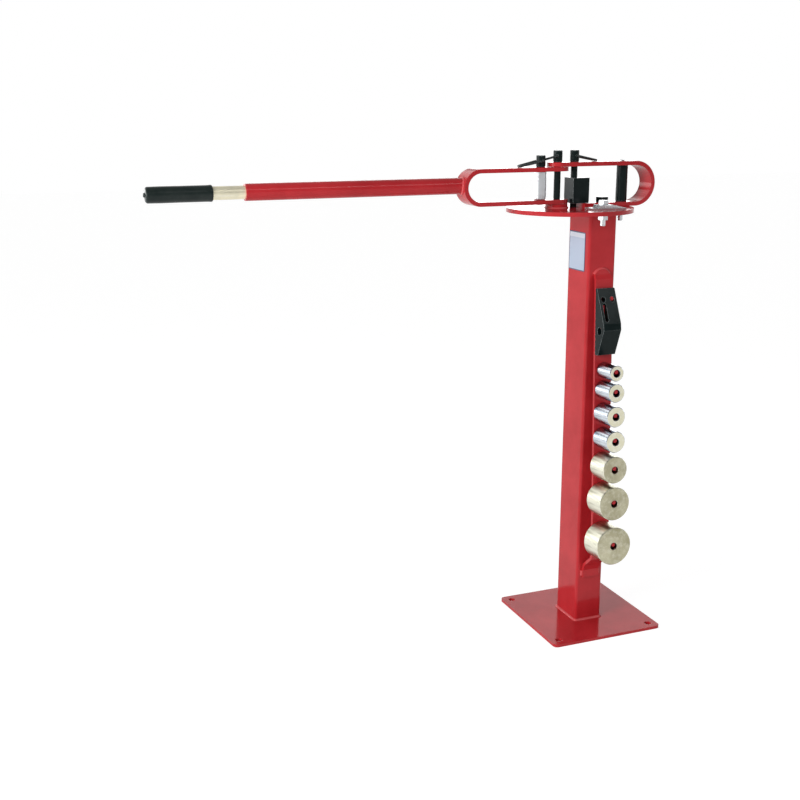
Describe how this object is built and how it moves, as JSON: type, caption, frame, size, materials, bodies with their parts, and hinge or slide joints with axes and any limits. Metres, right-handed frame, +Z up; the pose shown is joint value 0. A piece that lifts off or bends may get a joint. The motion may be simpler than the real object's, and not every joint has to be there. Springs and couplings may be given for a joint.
{
  "type": "flat bar bender",
  "caption": "Floor-standing manual flat bar bender: box column on a bolted plate, round head plate with two strap yokes, pull-out pins, a swinging extendable handle and a die rack.",
  "frame": {"origin": "middle of the floor bolt holes on the underside of the base plate", "axes": "+Z up the column, +X along the fixed yoke away from the handle, the die rack on the -Y side"},
  "size_m": [0.9905, 0.2533, 0.97],
  "materials": {
    "red_paint": "gloss",
    "black_steel": "satin black oxide",
    "zinc": "bright zinc plate",
    "machined": "machined and oiled",
    "galvanised": "galvanised",
    "rubber": "matte",
    "label": "blank printed plate"
  },
  "bodies": {
    "frame": {"base_plate": "red_paint", "column": "red_paint", "head_plate": "red_paint", "pivot_boss": "red_paint", "fixed_yoke": "red_paint", "spacer_post": "black_steel", "post_stud": "zinc", "post_nut": "zinc", "yoke_bolt": "black_steel", "label_plate": "label", "die_rack": "red_paint", "die_pegs": "red_paint", "block_peg": "red_paint", "stop_bolt": "zinc", "stop_washer": "zinc", "stop_nut": "zinc"},
    "stop": {"stop_bar": "zinc"},
    "block": {"square_block": "black_steel"},
    "arm": {"arm_yoke": "red_paint", "arm_tube": "red_paint"},
    "extension": {"extension_pipe": "galvanised", "grip": "rubber"},
    "roller": {"roller_sleeve": "zinc"},
    "centre_pin": {"centre_pin": "black_steel"},
    "block_pin": {"block_pin": "black_steel"},
    "roller_pin": {"roller_pin": "black_steel"},
    "centre_ring": {"centre_ring": "black_steel"},
    "block_ring": {"block_ring": "black_steel"},
    "roller_ring": {"roller_ring": "black_steel"},
    "vee_block": {"vee_block": "black_steel"},
    "die_1": {"die_1": "zinc"},
    "die_2": {"die_2": "zinc"},
    "die_3": {"die_3": "zinc"},
    "die_4": {"die_4": "zinc"},
    "die_5": {"die_5": "machined"},
    "die_6": {"die_6": "machined"},
    "die_7": {"die_7": "machined"}
  },
  "joints": [
    {"name": "arm_swing", "type": "hinge", "parent": "frame", "child": "arm", "pos_m": [-0.082, 0, 0.905], "axis": [0, 0, 1], "range_deg": [-90, 90]},
    {"name": "extension_slide", "type": "slide", "parent": "arm", "child": "extension", "axis": [-1, 0, 0], "range_m": [-0.05, 0.14]},
    {"name": "roller_spin", "type": "hinge", "parent": "arm", "child": "roller", "pos_m": [-0.1184, 0, 0.905], "axis": [0, 0, 1], "continuous": true},
    {"name": "block_turn", "type": "hinge", "parent": "frame", "child": "block", "pos_m": [-0.0456, 0, 0.89], "axis": [0, 0, 1], "range_deg": [-25, 25]},
    {"name": "stop_swivel", "type": "hinge", "parent": "frame", "child": "stop", "pos_m": [-0.016, -0.063, 0.866], "axis": [0, 0, 1], "range_deg": [-30, 30]},
    {"name": "centre_pin_lift", "type": "slide", "parent": "arm", "child": "centre_pin", "axis": [0, 0, 1], "range_m": [0, 0.095]},
    {"name": "block_pin_lift", "type": "slide", "parent": "frame", "child": "block_pin", "axis": [0, 0, 1], "range_m": [0, 0.095]},
    {"name": "roller_pin_lift", "type": "slide", "parent": "arm", "child": "roller_pin", "axis": [0, 0, 1], "range_m": [0, 0.075]},
    {"name": "centre_ring_swing", "type": "hinge", "parent": "centre_pin", "child": "centre_ring", "pos_m": [-0.082, 0, 0.9596], "axis": [0.5736, 0.8192, 0], "range_deg": [0, 100]},
    {"name": "block_ring_swing", "type": "hinge", "parent": "block_pin", "child": "block_ring", "pos_m": [-0.0456, 0, 0.9596], "axis": [0, -1, 0], "range_deg": [0, 100]},
    {"name": "roller_ring_swing", "type": "hinge", "parent": "roller_pin", "child": "roller_ring", "pos_m": [-0.1184, 0, 0.9511], "axis": [0, 1, 0], "range_deg": [0, 100]},
    {"name": "die_1_slide", "type": "slide", "parent": "frame", "child": "die_1", "axis": [0, -0.9989, 0.0471], "range_m": [0, 0.06]},
    {"name": "die_2_slide", "type": "slide", "parent": "frame", "child": "die_2", "axis": [0, -0.9989, 0.0471], "range_m": [0, 0.06]},
    {"name": "die_3_slide", "type": "slide", "parent": "frame", "child": "die_3", "axis": [0, -0.9989, 0.0471], "range_m": [0, 0.06]},
    {"name": "die_4_slide", "type": "slide", "parent": "frame", "child": "die_4", "axis": [0, -0.9989, 0.0471], "range_m": [0, 0.06]},
    {"name": "die_5_slide", "type": "slide", "parent": "frame", "child": "die_5", "axis": [0, -0.9989, 0.0471], "range_m": [0, 0.06]},
    {"name": "die_6_slide", "type": "slide", "parent": "frame", "child": "die_6", "axis": [0, -0.9989, 0.0471], "range_m": [0, 0.06]},
    {"name": "die_7_slide", "type": "slide", "parent": "frame", "child": "die_7", "axis": [0, -0.9989, 0.0471], "range_m": [0, 0.06]},
    {"name": "vee_block_slide", "type": "slide", "parent": "frame", "child": "vee_block", "axis": [0, -0.9989, 0.0471], "range_m": [0, 0.03]}
  ]
}
